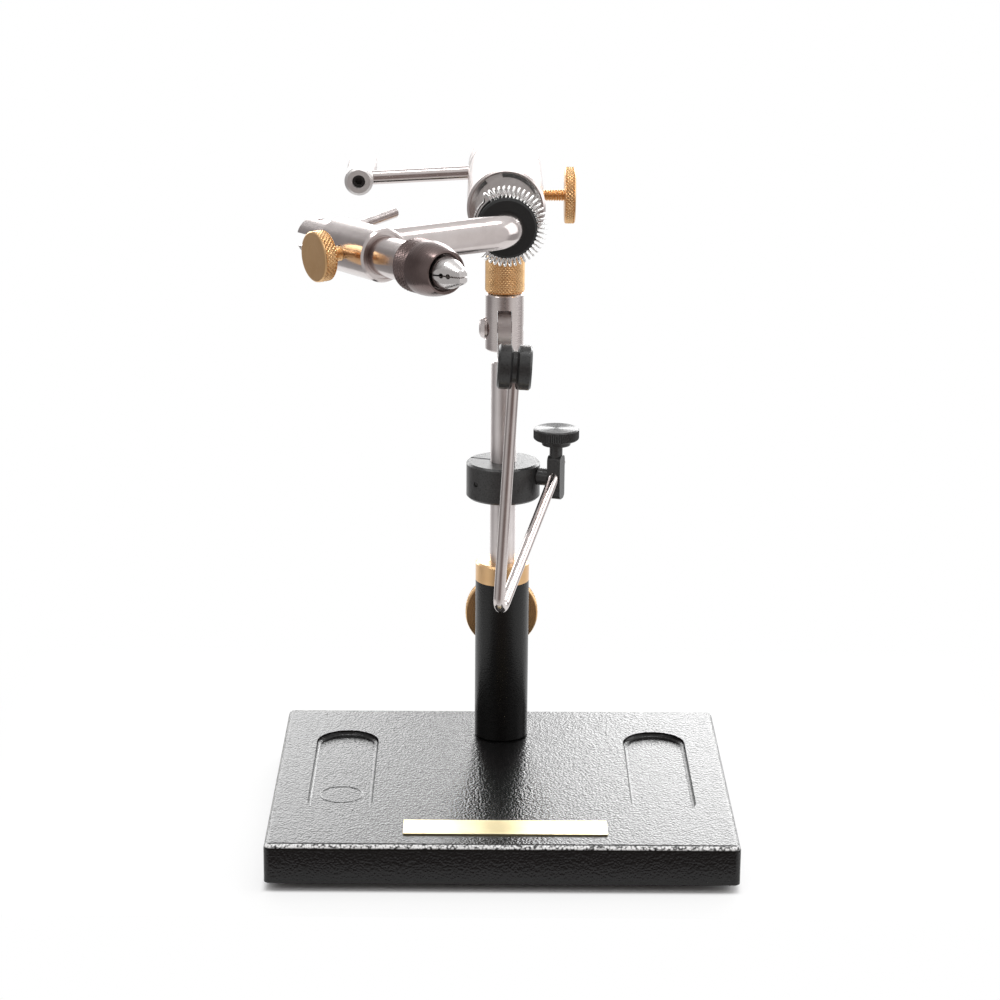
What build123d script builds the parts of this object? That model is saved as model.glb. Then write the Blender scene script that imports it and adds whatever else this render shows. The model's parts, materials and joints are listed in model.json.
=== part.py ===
from build123d import *
from math import cos, pi, radians, sin, sqrt
import os

# Rotary fly tying vise on a pedestal base, in millimetres.
# The origin is on the post's axis at the level of the surface that the feet stand on.
# X runs to the right and Y away from the front edge of the base. The rotary axis lies along Y.

# Clearances
running = 0.05
gap = 0.3

# Base
foot_height = 3.0
foot_radius = 6.0
foot_inset = 13.0
foot_bevel = 0.8
base_width = 164.6
base_depth = 134.3
base_thickness = 14.2
base_behind_post = 25.2
base_corner = 2.2
base_edge = 2.0
tray_margin = 12.85
tray_width = 23.3
tray_length = 82.0
tray_middle_y = -39.0
tray_depth = 1.8
tray_round = 1.5
plate_width = 71.2
plate_depth = 12.3
plate_thickness = 0.5
plate_setback = 9.5
plate_aside = 1.1

# Stem
stem_radius = 10.0
stem_height = 61.7
stem_floor = 8.0
stem_chamfer = 0.6
stem_bore_radius = 5.2
bush_radius = 7.0
bush_length = 28.0
bush_flange = 7.3
bush_chamfer = 0.7
bolt_radius = 3.0
bolt_head_radius = 5.0
bolt_head_height = 6.0
bolt_recess = 1.5

# Post and its clamp screw, with heights above the top of the base
post_radius = 4.7625
post_bottom = 18.0
post_chamfer = 0.8
tongue_thickness = 5.0
tongue_width = 8.2
tongue_end_radius = 6.8
post_screw_height = 43.0
post_screw_radius = 3.0
post_screw_head_radius = 13.9
post_screw_head_start = 16.0
post_screw_head_length = 5.0

# Bobbin rest, with heights above the top of the base
collar_radius = 13.65
collar_bottom = 94.0
collar_height = 13.6
collar_yaw = -19.5
collar_slit = 1.0
pinch_radius = 1.0
pinch_head_radius = 2.0
pinch_head_height = 2.0
pinch_offset = 6.5
swivel_height = 103.0
swivel_radius = 2.5
swivel_shoulder_radius = 3.2
swivel_depth = 6.1
clamp_width = 5.0
clamp_depth = 5.8
clamp_reach = 20.5
clamp_below = 7.7
clamp_above = 8.7
clamp_neck_radius = 2.4
clamp_neck_length = 3.7
knob_radius = 8.4
knob_height = 4.3
knob_flange_radius = 5.3
knob_flange_height = 2.0
knob_flutes = 24
knob_flute_radius = 0.7
clamp_screw_radius = 1.5
rod_radius = 2.0
rod_tail = 6.0
rod_reach = 63.7
rod_lift = 2.0
rod_drop = 37.2
rod_lean = 4.7
rod_lean_back = 1.7
rod_rise = 91.2
rod_bend = 4.5
spool_radius = 7.75
spool_width = 11.7
spool_groove_radius = 5.7
spool_groove_width = 1.4
spool_mouth_width = 3.0
spool_round = 0.75

# Yoke, tilt screw and neck. The tilt screw's height is above the top of the base, and the rest is from it
tilt_height = 158.0
post_below_tilt = 12.2
yoke_radius = 7.025
yoke_below_tilt = 8.0
yoke_above_tilt = 13.0
yoke_chamfer = 0.5
yoke_slot = 5.3
slot_above_tilt = 7.7
boss_above_tilt = 27.3
axis_above_tilt = 49.5
tilt_screw_radius = 2.0
tilt_head_radius = 4.2
tilt_head_height = 3.0
tilt_seat = 6.3
neck_stud_radius = 3.0
neck_stud_depth = 6.0
neck_nut_radius = 7.3
neck_nut_chamfer = 0.8
boss_radius = 7.0

# Rotary housing: distances along the axis are positive towards the front
housing_radius = 13.8
housing_front = 31.0
housing_rear = -40.0
housing_chamfer = 0.8
housing_bore_radius = 6.5
bearing_radius = 9.0
bearing_length = 20.0
cap_radius = 12.4
cap_recess = 3.0
cap_thickness = 1.6
ring_width = 1.5
ring_thickness = 1.0
ring_gap_angle = 30.0
ring_gap_place = 112.0
drag_place = 3.0
drag_screw_radius = 2.15
drag_head_radius = 10.25
drag_head_start = 21.1
drag_head_length = 3.9
drag_pad_length = 2.2

# Rotor: the arm's plane dips to the left, and the jaws lead back across the front from the arm's end
arm_dip = 2.2
arm_angle = 62.8
arm_corner = 75.5
arm_length = 53.3
arm_bend = 9.0
jaw_angle = 33.3
shaft_radius = 5.85
hub_front = 70.0
hub_radius = 10.25
hub_groove_radius = 8.6
hub_front_flange = 1.5
hub_groove_width = 5.2
hub_rear_flange = 2.0
hub_round = 0.8
spring_radius = 11.4
spring_coil_radius = 2.1
spring_wire_radius = 0.33
spring_turns = 34
spring_sweep = 255.0
spring_start = -130.0
spring_lead_start = 132.0
spring_lead_end = 222.0
crank_dip = 3.4
crank_length = 55.0
crank_collar_length = 20.0
crank_collar_gap = 0.4
crank_rod_radius = 2.65
crank_rod_depth = 6.0
crank_set_screw_radius = 2.0
eye_radius = 5.4
eye_front = 8.0
eye_length = 16.0
eye_chamfer = 1.0
handle_radius = 5.1
handle_swell = 0.6
handle_length = 32.0
handle_screw_radius = 2.0
handle_screw_head_radius = 2.4
handle_screw_head_height = 4.0
handle_screw_recess = 2.0

# Jaw assembly: distances along the jaw axis are from the arm's centre line, positive towards the tip
holder_radius = 8.8
holder_front = 14.5
holder_rear = -14.7
holder_recess_radius = 7.6
holder_recess = 1.2
holder_chamfer = 1.0
jaw_screw_radius = 2.5
jaw_screw_head_radius = 8.4
jaw_screw_head_start = 13.9
jaw_screw_head_length = 4.6
tube_radius = 6.5
tube_front = 45.0
tube_rear = -32.7
tube_bore_radius = 5.0
tube_bore_depth = 24.0
tube_chamfer = 0.8
lever_slot = 4.3
lever_slot_length = 13.0
cam_pin_radius = 1.5
cam_place = -26.2
cam_radius = 3.6
cam_throw = 1.0
cam_lead = 60.0
cam_thickness = 3.4
lever_angle = 120.0
lever_length = 51.0
lever_radius = 1.9
push_rod_radius = 2.4
push_rod_head_radius = 4.8
push_rod_head_length = 4.0
jaw_radius = 4.8
jaw_tip = 60.7
jaw_tip_radius = 2.4
jaw_slit = 0.5
jaw_neck = 47.0
jaw_neck_radius = 5.2
jaw_crown = 3.5
jaw_crown_radius = 4.6
jaw_flat_tip = 1.4
jaw_pocket_radius = 0.8
jaw_pockets = (6.7, 4.2)
nose_rear = 32.3
nose_length = 18.5
nose_radius = 8.8
nose_band = 8.0
nose_front_radius = 6.9
nose_mouth_radius = 5.75

# Worked out from the sizes above
base_bottom = foot_height
base_top = foot_height + base_thickness
base_middle_y = base_behind_post - base_depth / 2
base_front_y = base_behind_post - base_depth
stem_top = base_top + stem_height
tray_spacing = base_width - 2 * tray_margin - tray_width
tilt_z = base_top + tilt_height
post_top = tilt_height - post_below_tilt
yoke_bottom = tilt_height - yoke_below_tilt
yoke_top = tilt_height + yoke_above_tilt
yoke_slot_top = tilt_height + slot_above_tilt
boss_bottom = tilt_height + boss_above_tilt
axis_z = tilt_z + axis_above_tilt

axis_frame = Plane((0, 0, axis_z), x_dir=(1, 0, 0), z_dir=(0, -1, 0))
arm_normal = Vector(-sin(radians(arm_dip)), 0, cos(radians(arm_dip)))
arm_left = Vector(-cos(radians(arm_dip)), 0, -sin(radians(arm_dip)))
arm_frame = Plane((0, 0, axis_z), x_dir=arm_left, z_dir=arm_normal)
arm_end = (
    arm_length * sin(radians(arm_angle)),
    arm_corner + arm_length * cos(radians(arm_angle)),
)
jaw_forward = arm_frame.from_local_coords(
    Vector(-sin(radians(jaw_angle)), cos(radians(jaw_angle)), 0)
) - arm_frame.origin
jaw_frame = Plane(
    arm_frame.from_local_coords(Vector(*arm_end, 0)),
    x_dir=jaw_forward.cross(arm_normal),
    z_dir=jaw_forward,
)
jaw_screw_frame = Plane(jaw_frame.origin, x_dir=jaw_frame.z_dir, z_dir=jaw_frame.x_dir)
jaw_side = Plane(jaw_frame.origin, x_dir=jaw_frame.x_dir, z_dir=-jaw_frame.y_dir)
nose_front = nose_rear + nose_length
cam_frame = Plane(
    jaw_frame.origin + jaw_frame.z_dir * cam_place,
    x_dir=jaw_frame.z_dir,
    z_dir=jaw_frame.y_dir,
)
crank_left = Vector(-cos(radians(crank_dip)), 0, -sin(radians(crank_dip)))
crank_place = housing_rear - crank_collar_gap - crank_collar_length / 2
crank_frame = Plane(
    axis_frame.origin + axis_frame.z_dir * crank_place, x_dir=(0, 1, 0), z_dir=crank_left
)
eye_frame = Plane(
    crank_frame.origin + crank_left * crank_length, x_dir=crank_left, z_dir=(0, -1, 0)
)
collar_frame = Plane(
    (0, 0, base_top + swivel_height),
    x_dir=(cos(radians(collar_yaw)), sin(radians(collar_yaw)), 0),
    z_dir=(0, 0, 1),
)
swivel_frame = Plane(
    collar_frame.origin, x_dir=collar_frame.y_dir, z_dir=collar_frame.x_dir
)
knob_frame = Plane(
    collar_frame.from_local_coords(Vector(clamp_reach, 0, clamp_above)),
    x_dir=collar_frame.x_dir,
    z_dir=(0, 0, 1),
)
post_screw_frame = Plane(
    (0, 0, base_top + post_screw_height), x_dir=(1, 0, 0), z_dir=(0, 1, 0)
)
drag_frame = Plane((0, -drag_place, axis_z), x_dir=(0, 1, 0), z_dir=(1, 0, 0))

# The bobbin rod runs from its tail through the clamp to the low bend, then up to the spool.
rod_clamp_point = collar_frame.from_local_coords(Vector(clamp_reach, 0, rod_lift))
rod_low_point = collar_frame.from_local_coords(
    Vector(clamp_reach, -rod_reach, rod_lift - rod_drop)
)
rod_spool_point = collar_frame.from_local_coords(
    Vector(clamp_reach + rod_lean, rod_lean_back - rod_reach, rod_lift + rod_rise - rod_drop)
)
rod_down = (rod_low_point - rod_clamp_point).normalized()
rod_up = (rod_spool_point - rod_low_point).normalized()
rod_tail_point = rod_clamp_point - rod_down * rod_tail
spool_axis = (Vector(1, 0, 0) - rod_up * rod_up.dot(Vector(1, 0, 0))).normalized()


def turn(outline, frame, mode=Mode.ADD, arc=360.0):
    """Revolves an outline of (radius, height) points about the frame's z axis."""
    side = Plane(frame.origin, x_dir=frame.x_dir, z_dir=-frame.y_dir)
    with BuildSketch(side) as profile:
        with BuildLine():
            Polyline(*outline, close=True)
        make_face()
    revolve(profile.sketch, axis=Axis(frame.origin, frame.z_dir), revolution_arc=arc, mode=mode)


def rod(frame, radius, low, high, mode=Mode.ADD):
    """Adds or cuts a round bar along the frame's z axis."""
    with Locations(frame.offset(low)):
        Cylinder(radius, high - low, align=(Align.CENTER, Align.CENTER, Align.MIN), mode=mode)


def hexagon_socket(frame, across_radius, low, high):
    """Cuts a hexagon key socket along the frame's z axis."""
    with BuildSketch(frame.offset(low)) as key:
        RegularPolygon(across_radius, 6)
    extrude(key.sketch, amount=high - low, mode=Mode.SUBTRACT)


def thumb_screw(frame, radius, tip, head_start, head_length, head_radius):
    """Turns a thumb screw whose round head stands out along the frame's z axis."""
    head_end = head_start + head_length
    edge = head_length / 6
    turn(
        [
            (0, tip),
            (radius - edge, tip),
            (radius, tip + edge),
            (radius, head_start),
            (head_radius - edge, head_start),
            (head_radius, head_start + edge),
            (head_radius, head_end - edge),
            (head_radius - edge, head_end),
            (0, head_end),
        ],
        frame,
    )


# Base plate with two trays and a counterbore for the stem's bolt
with BuildPart() as base_plate:
    with BuildSketch(Plane.XY.offset(base_bottom)):
        with Locations((0, base_middle_y)):
            RectangleRounded(base_width, base_depth, base_corner)
    extrude(amount=base_thickness)
    fillet(base_plate.edges().group_by(Axis.Z)[-1], base_edge)
    with BuildSketch(Plane.XY.offset(base_top)):
        with Locations((0, tray_middle_y)):
            with GridLocations(tray_spacing, 0, 2, 1):
                SlotOverall(tray_length, tray_width, rotation=90)
    extrude(amount=-tray_depth, mode=Mode.SUBTRACT)
    tray_floor = base_plate.edges().filter_by_position(
        Axis.Z, base_top - tray_depth - running, base_top - tray_depth + running
    )
    fillet(tray_floor, tray_round)
    rod(Plane.XY, bolt_radius + gap, base_bottom, base_top, Mode.SUBTRACT)
    rod(
        Plane.XY,
        bolt_head_radius + gap,
        base_bottom,
        base_bottom + bolt_recess + bolt_head_height,
        Mode.SUBTRACT,
    )

with BuildPart() as rubber_feet:
    with Locations((0, base_middle_y)):
        with GridLocations(base_width - 2 * foot_inset, base_depth - 2 * foot_inset, 2, 2):
            Cylinder(foot_radius, foot_height, align=(Align.CENTER, Align.CENTER, Align.MIN))
    chamfer(rubber_feet.edges().group_by(Axis.Z)[0], foot_bevel)

with BuildPart() as name_plate:
    with BuildSketch(Plane.XY.offset(base_top)):
        with Locations((plate_aside, base_front_y + plate_setback + plate_depth / 2)):
            RectangleRounded(plate_width, plate_depth, plate_thickness)
    extrude(amount=plate_thickness)

# Stem tube, its bolt from below and the brass bush at its top
with BuildPart() as stem_tube:
    turn(
        [
            (bolt_radius, base_top),
            (stem_radius - stem_chamfer, base_top),
            (stem_radius, base_top + stem_chamfer),
            (stem_radius, stem_top),
            (bush_radius, stem_top),
            (bush_radius, stem_top - bush_length),
            (stem_bore_radius, stem_top - bush_length),
            (stem_bore_radius, base_top + stem_floor),
            (bolt_radius, base_top + stem_floor),
        ],
        Plane.XY,
    )
    rod(post_screw_frame, post_screw_radius + running, 0, 2 * stem_radius, Mode.SUBTRACT)

with BuildPart() as stem_bolt:
    bolt_seat = base_bottom + bolt_recess + bolt_head_height
    rod(Plane.XY, bolt_head_radius, base_bottom + bolt_recess, bolt_seat)
    rod(Plane.XY, bolt_radius, bolt_seat, base_top + stem_floor)
    hexagon_socket(
        Plane.XY, bolt_radius, base_bottom + bolt_recess, base_bottom + bolt_recess + bolt_radius
    )

with BuildPart() as stem_bush:
    bush_bore = post_radius + running
    bush_top = stem_top + bush_flange
    turn(
        [
            (bush_bore, stem_top - bush_length),
            (bush_radius, stem_top - bush_length),
            (bush_radius, stem_top),
            (stem_radius, stem_top),
            (stem_radius, bush_top - bush_chamfer),
            (stem_radius - bush_chamfer, bush_top),
            (bush_bore + bush_chamfer, bush_top),
            (bush_bore, bush_top - bush_chamfer),
        ],
        Plane.XY,
    )
    rod(post_screw_frame, post_screw_radius + running, 0, 2 * stem_radius, Mode.SUBTRACT)

with BuildPart() as post_clamp_screw:
    thumb_screw(
        post_screw_frame,
        post_screw_radius,
        post_radius + gap,
        post_screw_head_start,
        post_screw_head_length,
        post_screw_head_radius,
    )

# Post with the flat tongue that the head tilts on
with BuildPart() as post:
    turn(
        [
            (0, base_top + post_bottom),
            (post_radius - post_chamfer, base_top + post_bottom),
            (post_radius, base_top + post_bottom + post_chamfer),
            (post_radius, base_top + post_top - post_chamfer),
            (post_radius - post_chamfer, base_top + post_top),
            (0, base_top + post_top),
        ],
        Plane.XY,
    )
    tongue_height = tilt_height - post_top + post_chamfer
    with BuildSketch(Plane.YZ):
        with Locations((0, tilt_z)):
            Rectangle(tongue_width, tongue_height, align=(Align.CENTER, Align.MAX))
            Circle(tongue_end_radius)
            Circle(tilt_screw_radius + running, mode=Mode.SUBTRACT)
    extrude(amount=tongue_thickness / 2, both=True)

# Bobbin rest: split collar, swivelling rod clamp, knob, bent rod and spool
with BuildPart() as bobbin_collar:
    collar_low = collar_bottom - swivel_height
    edge = post_chamfer
    turn(
        [
            (post_radius + running, collar_low),
            (collar_radius - edge, collar_low),
            (collar_radius, collar_low + edge),
            (collar_radius, collar_low + collar_height - edge),
            (collar_radius - edge, collar_low + collar_height),
            (post_radius + running, collar_low + collar_height),
        ],
        collar_frame,
    )
    with BuildSketch(collar_frame) as slit:
        Rectangle(collar_radius, collar_slit, align=(Align.MAX, Align.CENTER))
    extrude(slit.sketch, amount=collar_height, both=True, mode=Mode.SUBTRACT)
    rod(swivel_frame, swivel_radius + running, collar_radius - swivel_depth, collar_radius, Mode.SUBTRACT)
    pinch_frame = Plane(
        collar_frame.from_local_coords(Vector(-pinch_offset, 0, collar_low + collar_height / 2)),
        x_dir=collar_frame.x_dir,
        z_dir=collar_frame.y_dir,
    )
    pinch_half = sqrt(collar_radius**2 - pinch_offset**2)
    pinch_seat = pinch_half - pinch_head_height - pinch_head_radius / 2
    rod(pinch_frame, pinch_radius, -collar_radius, collar_radius, Mode.SUBTRACT)
    rod(pinch_frame, pinch_head_radius + gap, pinch_seat, collar_radius, Mode.SUBTRACT)

with BuildPart() as collar_screw:
    rod(pinch_frame, pinch_radius, pinch_radius - pinch_half, pinch_seat)
    rod(pinch_frame, pinch_head_radius, pinch_seat, pinch_seat + pinch_head_height)
    hexagon_socket(
        pinch_frame,
        pinch_radius,
        pinch_seat + pinch_head_height / 2,
        pinch_seat + pinch_head_height,
    )

with BuildPart() as rod_clamp:
    clamp_near = clamp_reach - clamp_width / 2
    rod(swivel_frame, swivel_radius, collar_radius - swivel_depth + gap, clamp_near)
    rod(swivel_frame, swivel_shoulder_radius, collar_radius + gap, clamp_near)
    with BuildSketch(swivel_frame.offset(clamp_near)) as block:
        with Locations((0, (clamp_above - clamp_below) / 2)):
            RectangleRounded(clamp_depth, clamp_above + clamp_below, clamp_depth / 3)
    extrude(block.sketch, amount=clamp_width)
    rod(knob_frame, clamp_neck_radius, -clamp_neck_radius, clamp_neck_length)
    rod(knob_frame, clamp_screw_radius + running, -clamp_above, clamp_neck_length, Mode.SUBTRACT)
    rod(
        Plane(rod_clamp_point, z_dir=rod_down),
        rod_radius + running,
        -clamp_depth,
        clamp_depth,
        Mode.SUBTRACT,
    )

with BuildPart() as clamp_screw:
    rod_slope = rod_drop / rod_reach
    clamp_tip = rod_radius * sqrt(1 + rod_slope**2) + clamp_screw_radius * rod_slope + gap
    knob_low = clamp_neck_length + gap
    knob_top = knob_low + knob_flange_height + knob_height
    rod(knob_frame, clamp_screw_radius, rod_lift + clamp_tip - clamp_above, knob_top - knob_flange_height)

with BuildPart() as clamp_knob:
    knob_edge = knob_flute_radius
    turn(
        [
            (clamp_screw_radius, knob_low),
            (knob_flange_radius, knob_low),
            (knob_flange_radius, knob_low + knob_flange_height),
            (knob_radius - knob_edge, knob_low + knob_flange_height),
            (knob_radius, knob_low + knob_flange_height + knob_edge),
            (knob_radius, knob_top - knob_edge),
            (knob_radius - knob_edge, knob_top),
            (0, knob_top),
            (0, knob_top - knob_flange_height),
            (clamp_screw_radius, knob_top - knob_flange_height),
        ],
        knob_frame,
    )
    with BuildSketch(knob_frame.offset(knob_low + knob_flange_height)) as flutes:
        with PolarLocations(knob_radius + knob_flute_radius / 4, knob_flutes):
            Circle(knob_flute_radius)
    extrude(flutes.sketch, amount=knob_height, mode=Mode.SUBTRACT)

with BuildPart() as bobbin_rod:
    with BuildLine() as rod_route:
        FilletPolyline(rod_tail_point, rod_low_point, rod_spool_point, radius=rod_bend)
    with BuildSketch(Plane(rod_tail_point, z_dir=rod_down)) as rod_section:
        Circle(rod_radius)
    sweep(rod_section.sketch, path=rod_route.wire())

with BuildPart() as cradle_spool:
    half_width = spool_width / 2
    half_mouth = spool_mouth_width / 2
    half_groove = spool_groove_width / 2
    spool_frame = Plane(rod_spool_point, x_dir=rod_up, z_dir=spool_axis)
    turn(
        [
            (0, -half_width),
            (spool_radius - spool_round, -half_width),
            (spool_radius, spool_round - half_width),
            (spool_radius, -half_mouth),
            (spool_groove_radius, -half_groove),
            (spool_groove_radius, half_groove),
            (spool_radius, half_mouth),
            (spool_radius, half_width - spool_round),
            (spool_radius - spool_round, half_width),
            (0, half_width),
        ],
        spool_frame,
    )
    rod(Plane(rod_spool_point, z_dir=-rod_up), rod_radius, 0, 2 * spool_radius, Mode.SUBTRACT)

# Head: clevis yoke, tilt screw, neck stud and neck nut
with BuildPart() as yoke:
    rod(Plane.XY, yoke_radius, base_top + yoke_bottom, base_top + yoke_top)
    chamfer(yoke.edges().filter_by(GeomType.CIRCLE), yoke_chamfer)
    with BuildSketch(Plane.XY.offset(base_top + yoke_bottom)) as slot:
        Rectangle(yoke_slot, 2 * yoke_radius)
    extrude(slot.sketch, amount=yoke_slot_top - yoke_bottom, mode=Mode.SUBTRACT)
    tilt_frame = Plane((0, 0, tilt_z), x_dir=(0, 1, 0), z_dir=(-1, 0, 0))
    rod(tilt_frame, tilt_screw_radius, -2 * yoke_radius, 2 * yoke_radius, Mode.SUBTRACT)
    rod(tilt_frame, tilt_head_radius + gap, tilt_seat, 2 * yoke_radius, Mode.SUBTRACT)
    stud_bottom = base_top + yoke_slot_top + gap
    rod(Plane.XY, neck_stud_radius, stud_bottom, base_top + yoke_top, Mode.SUBTRACT)

with BuildPart() as tilt_screw:
    turn(
        [
            (0, -yoke_radius + gap),
            (tilt_screw_radius, -yoke_radius + gap),
            (tilt_screw_radius, tilt_seat),
            (tilt_head_radius, tilt_seat),
            (tilt_head_radius, tilt_seat + tilt_head_height / 3),
            (tilt_head_radius * 0.8, tilt_seat + tilt_head_height * 0.8),
            (tilt_head_radius * 0.5, tilt_seat + tilt_head_height),
            (0, tilt_seat + tilt_head_height),
        ],
        tilt_frame,
    )
    hexagon_socket(
        tilt_frame,
        tilt_head_radius * 0.4,
        tilt_seat + tilt_head_height / 3,
        tilt_seat + tilt_head_height,
    )

with BuildPart() as neck_stud:
    rod(Plane.XY, neck_stud_radius, stud_bottom, base_top + boss_bottom + neck_stud_depth)

with BuildPart() as neck_nut:
    nut_bore = neck_stud_radius + running
    nut_seat = base_top + yoke_top + gap
    nut_top = base_top + boss_bottom - gap
    turn(
        [
            (nut_bore, nut_seat),
            (neck_nut_radius - neck_nut_chamfer, nut_seat),
            (neck_nut_radius, nut_seat + neck_nut_chamfer),
            (neck_nut_radius, nut_top - neck_nut_chamfer),
            (neck_nut_radius - neck_nut_chamfer, nut_top),
            (nut_bore, nut_top),
        ],
        Plane.XY,
    )

# Rotary housing on its boss, with two bushes, a retaining ring and the drag parts
with BuildPart() as rotary_housing:
    turn(
        [
            (0, housing_rear),
            (housing_radius - housing_chamfer, housing_rear),
            (housing_radius, housing_rear + housing_chamfer),
            (housing_radius, housing_front - housing_chamfer),
            (housing_radius - housing_chamfer, housing_front),
            (0, housing_front),
        ],
        axis_frame,
    )
    rod(Plane.XY, boss_radius, base_top + boss_bottom, axis_z)
    rod(axis_frame, cap_radius, housing_front - cap_recess, housing_front, Mode.SUBTRACT)
    rod(
        axis_frame,
        bearing_radius,
        housing_front - cap_recess - bearing_length,
        housing_front,
        Mode.SUBTRACT,
    )
    rod(axis_frame, bearing_radius, housing_rear, housing_rear + bearing_length, Mode.SUBTRACT)
    rod(axis_frame, housing_bore_radius, housing_rear, housing_front, Mode.SUBTRACT)
    rod(
        Plane.XY,
        neck_stud_radius,
        base_top + boss_bottom,
        base_top + boss_bottom + neck_stud_depth,
        Mode.SUBTRACT,
    )
    rod(drag_frame, drag_screw_radius + running, 0, 2 * housing_radius, Mode.SUBTRACT)

with BuildPart() as front_bush:
    cap_seat = housing_front - cap_recess
    turn(
        [
            (shaft_radius + running, cap_seat - bearing_length),
            (bearing_radius, cap_seat - bearing_length),
            (bearing_radius, cap_seat),
            (cap_radius, cap_seat),
            (cap_radius, cap_seat + cap_thickness),
            (shaft_radius + running, cap_seat + cap_thickness),
        ],
        axis_frame,
    )

with BuildPart() as retaining_ring:
    ring_seat = cap_seat + cap_thickness
    ring_turn = radians(ring_gap_place + ring_gap_angle / 2)
    ring_start = axis_frame.x_dir * cos(ring_turn) + axis_frame.y_dir * sin(ring_turn)
    turn(
        [
            (cap_radius - ring_width, ring_seat),
            (cap_radius, ring_seat),
            (cap_radius, ring_seat + ring_thickness),
            (cap_radius - ring_width, ring_seat + ring_thickness),
        ],
        Plane(axis_frame.origin, x_dir=ring_start, z_dir=axis_frame.z_dir),
        arc=360 - ring_gap_angle,
    )

with BuildPart() as rear_bush:
    turn(
        [
            (shaft_radius + running, housing_rear),
            (bearing_radius, housing_rear),
            (bearing_radius, housing_rear + bearing_length),
            (shaft_radius + running, housing_rear + bearing_length),
        ],
        axis_frame,
    )

with BuildPart() as drag_pad:
    drag_pad_start = shaft_radius + gap
    rod(drag_frame, drag_screw_radius, drag_pad_start, drag_pad_start + drag_pad_length)

with BuildPart() as drag_screw:
    thumb_screw(
        drag_frame,
        drag_screw_radius,
        drag_pad_start + drag_pad_length + gap,
        drag_head_start,
        drag_head_length,
        drag_head_radius,
    )

# Rotor: bent shaft, material clip, crank and jaw holder
with BuildPart() as bent_shaft:
    shaft_end = crank_place - crank_collar_length / 2
    with BuildLine(arm_frame) as shaft_route:
        FilletPolyline((0, shaft_end), (0, arm_corner), arm_end, radius=arm_bend)
    with BuildSketch(axis_frame.offset(shaft_end)) as bar:
        Circle(shaft_radius)
    sweep(bar.sketch, path=shaft_route.wire())
    rod(jaw_frame, holder_radius, -2 * holder_radius, 2 * holder_radius, Mode.SUBTRACT)

with BuildPart() as clip_hub:
    groove_front = hub_front - hub_front_flange
    groove_rear = groove_front - hub_groove_width
    turn(
        [
            (shaft_radius, groove_rear - hub_rear_flange),
            (hub_radius - hub_round, groove_rear - hub_rear_flange),
            (hub_radius, groove_rear - hub_rear_flange + hub_round),
            (hub_radius, groove_rear),
            (hub_groove_radius, groove_rear),
            (hub_groove_radius, groove_front),
            (hub_radius, groove_front),
            (hub_radius, hub_front - hub_round),
            (hub_radius - hub_round, hub_front),
            (shaft_radius, hub_front),
        ],
        axis_frame,
    )


def spring_place(angle, reach, along):
    """Gives a place of the spring by its angle, its distance from the axis and its place along it."""
    outward = axis_frame.x_dir * cos(angle) + axis_frame.y_dir * sin(angle)
    middle = (groove_front + groove_rear) / 2
    return axis_frame.origin + outward * reach + axis_frame.z_dir * (middle + along)


def spring_point(half_turn):
    """Gives the place and direction of the coil's centre line after a number of half turns."""
    sweep_rate = radians(spring_sweep) / (2 * pi * spring_turns)
    phase = pi * half_turn
    angle = radians(spring_start) + sweep_rate * phase
    outward = axis_frame.x_dir * cos(angle) + axis_frame.y_dir * sin(angle)
    around = axis_frame.y_dir * cos(angle) - axis_frame.x_dir * sin(angle)
    reach = spring_radius + spring_coil_radius * cos(phase)
    place = spring_place(angle, reach, spring_coil_radius * sin(phase))
    along = axis_frame.z_dir * spring_coil_radius * cos(phase) - outward * spring_coil_radius * sin(phase)
    return place, (along + around * reach * sweep_rate).normalized()


def biarc(start, start_way, end, end_way):
    """Joins two places by two tangent arcs."""
    span = end - start
    lean = 2 * (1 - start_way.dot(end_way))
    pull = span.dot(start_way + end_way)
    reach = (sqrt(pull**2 + lean * span.dot(span)) - pull) / lean
    first_corner = start + start_way * reach
    second_corner = end - end_way * reach
    joint = (first_corner + second_corner) * 0.5
    TangentArc(start, joint, tangent=start_way)
    TangentArc(joint, end, tangent=second_corner - first_corner)


with BuildPart() as clip_spring:
    with BuildLine() as coil_route:
        for half_turn in range(2 * spring_turns):
            biarc(*spring_point(half_turn), *spring_point(half_turn + 1))
        lead_start = radians(spring_lead_start)
        lead_end = radians(spring_lead_end)
        lead_point = spring_place(lead_start, spring_radius, 0)
        lead_way = axis_frame.y_dir * cos(lead_start) - axis_frame.x_dir * sin(lead_start)
        biarc(*spring_point(2 * spring_turns), lead_point, lead_way)
        TangentArc(lead_point, spring_place(lead_end, spring_radius, 0), tangent=lead_way)
    coil_start, coil_way = spring_point(0)
    with BuildSketch(Plane(coil_start, z_dir=coil_way)) as wire:
        RegularPolygon(spring_wire_radius, 4)
    sweep(wire.sketch, path=coil_route.wire(), clean=False)

samples = [spring_point(step / 8)[0] for step in range(16 * spring_turns + 1)]
lead_samples = [edge @ (step / 8) for edge in coil_route.edges()[-3:] for step in range(1, 9)]
turn_apart = [(a - b).length for i, a in enumerate(samples) for b in samples[i + 9 : i + 28]]
lead_apart = [(a - b).length for a in lead_samples for b in samples[:-9]]
least_apart = min(turn_apart + lead_apart)
print("least gap of the spring to itself", round(least_apart - 2 * spring_wire_radius, 3))

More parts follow.
